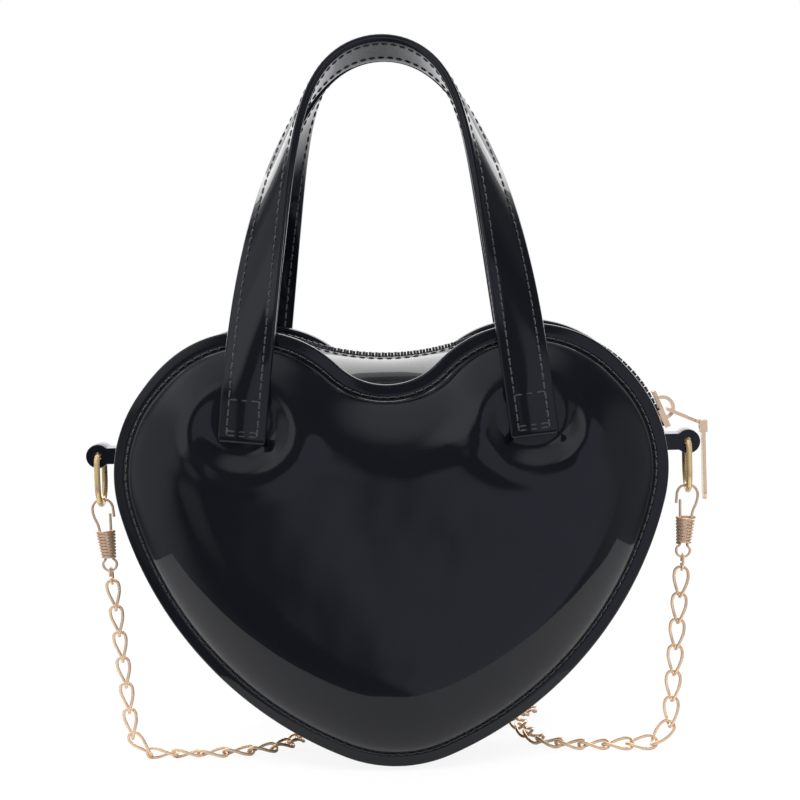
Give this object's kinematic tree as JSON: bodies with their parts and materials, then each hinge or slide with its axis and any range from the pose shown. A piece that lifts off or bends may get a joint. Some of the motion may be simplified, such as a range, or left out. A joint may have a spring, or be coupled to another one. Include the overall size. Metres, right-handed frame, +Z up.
{
  "type": "heart shaped purse",
  "caption": "Heart shaped patent purse with padded panels, a zip gusset, strap handles, side rings and a detachable twisted chain strap on spring clasps.",
  "frame": {"origin": "middle of the carry grip, on the underside of the two handles where a hand or hook holds them", "axes": "+Z up, the pictured front panel faces -Y, +X to the right in the picture"},
  "size_m": [0.2293, 0.1407, 0.2661],
  "materials": {
    "patent": "black patent sheet with a mirror-like gloss coat",
    "padding": "soft white wadding",
    "backing": "stiff grey backing board cloth",
    "lining": "black woven lining cloth",
    "zip_tape": "black woven tape",
    "zip_teeth": "black moulded teeth",
    "rose_metal": "polished light rose gold plate",
    "ring_metal": "polished yellow gold plate",
    "chain_metal": "polished light rose gold plate"
  },
  "bodies": {
    "bag": {"front_panel": "patent", "back_panel": "patent", "front_padding": "padding", "back_padding": "padding", "front_lining": "lining", "back_lining": "lining", "bottom_gusset": "patent", "front_top_strip": "patent", "back_top_strip": "patent", "gusset_lining": "lining", "front_zip_tape": "zip_tape", "back_zip_tape": "zip_tape", "front_zip_teeth": "zip_teeth", "back_zip_teeth": "zip_teeth", "zip_stop": "rose_metal", "right_ring_tab": "patent", "right_chain_run": "chain_metal", "left_ring_tab": "patent", "left_chain_run": "chain_metal", "chain_hank": "chain_metal", "front_right_handle_end": "patent", "front_right_handle_patch": "backing", "front_left_handle_end": "patent", "front_left_handle_patch": "backing", "back_right_handle_end": "patent", "back_right_handle_patch": "backing", "back_left_handle_end": "patent", "back_left_handle_patch": "backing"},
    "zip_slider": {"zip_slider": "rose_metal"},
    "pull_link": {"pull_link": "rose_metal"},
    "pull_tab": {"pull_tab": "rose_metal", "pull_pin": "rose_metal"},
    "front_handle": {"front_handle_cover": "patent", "front_handle_filler": "padding", "front_handle_lining": "patent"},
    "back_handle": {"back_handle_cover": "patent", "back_handle_filler": "padding", "back_handle_lining": "patent"},
    "right_ring": {"right_ring": "ring_metal"},
    "right_clasp": {"right_clasp_hook": "rose_metal", "right_clasp_coil": "rose_metal", "right_jump_ring": "rose_metal", "right_chain_drop": "chain_metal"},
    "right_gate": {"right_clasp_gate": "rose_metal"},
    "left_ring": {"left_ring": "ring_metal"},
    "left_clasp": {"left_clasp_hook": "rose_metal", "left_clasp_coil": "rose_metal", "left_jump_ring": "rose_metal", "left_chain_drop": "chain_metal"},
    "left_gate": {"left_clasp_gate": "rose_metal"}
  },
  "joints": [
    {"name": "slider_run", "type": "hinge", "parent": "bag", "child": "zip_slider", "pos_m": [0.05, 0, -0.1528], "axis": [0, -1, 0], "range_deg": [0, 80], "deforming": ["front_zip_teeth", "back_zip_teeth"]},
    {"name": "pull_link_hinge", "type": "hinge", "parent": "zip_slider", "child": "pull_link", "pos_m": [0.10205, 0, -0.13333], "axis": [0, -1, 0], "range_deg": [0, 110]},
    {"name": "pull_tab_hinge", "type": "hinge", "parent": "pull_link", "child": "pull_tab", "pos_m": [0.11484, 0, -0.13902], "axis": [0, -1, 0], "range_deg": [-2, 80]},
    {"name": "front_handle_fold", "type": "hinge", "parent": "bag", "child": "front_handle", "pos_m": [0, -0.0441, -0.1235], "axis": [1, 0, 0], "range_deg": [0, 95]},
    {"name": "back_handle_fold", "type": "hinge", "parent": "bag", "child": "back_handle", "pos_m": [0, 0.0441, -0.1235], "axis": [-1, 0, 0], "range_deg": [0, 95]},
    {"name": "right_ring_swing", "type": "hinge", "parent": "bag", "child": "right_ring", "pos_m": [0.10875, 0, -0.145], "axis": [0, -1, 0], "range_deg": [-12, 4]},
    {"name": "right_clasp_swing", "type": "hinge", "parent": "right_ring", "child": "right_clasp", "pos_m": [0.10875, 0, -0.1633], "axis": [0, -1, 0], "range_deg": [-7, 15]},
    {"name": "right_gate_spring", "type": "hinge", "parent": "right_clasp", "child": "right_gate", "pos_m": [0.10571, 0, -0.17863], "axis": [0, 1, 0], "range_deg": [0, 10], "stiffness_Nm_per_rad": 0.01, "springref_deg": -5.73},
    {"name": "left_ring_swing", "type": "hinge", "parent": "bag", "child": "left_ring", "pos_m": [-0.10875, 0, -0.145], "axis": [0, 1, 0], "range_deg": [-12, 4]},
    {"name": "left_clasp_swing", "type": "hinge", "parent": "left_ring", "child": "left_clasp", "pos_m": [-0.10875, 0, -0.1633], "axis": [0, 1, 0], "range_deg": [-7, 15]},
    {"name": "left_gate_spring", "type": "hinge", "parent": "left_clasp", "child": "left_gate", "pos_m": [-0.10571, 0, -0.17863], "axis": [0, -1, 0], "range_deg": [0, 10], "stiffness_Nm_per_rad": 0.01, "springref_deg": -5.73}
  ],
  "couplings": [
    {"joint": "right_clasp_swing", "follows": "right_ring_swing", "ratio": -1.2089},
    {"joint": "left_clasp_swing", "follows": "left_ring_swing", "ratio": -1.2089}
  ]
}
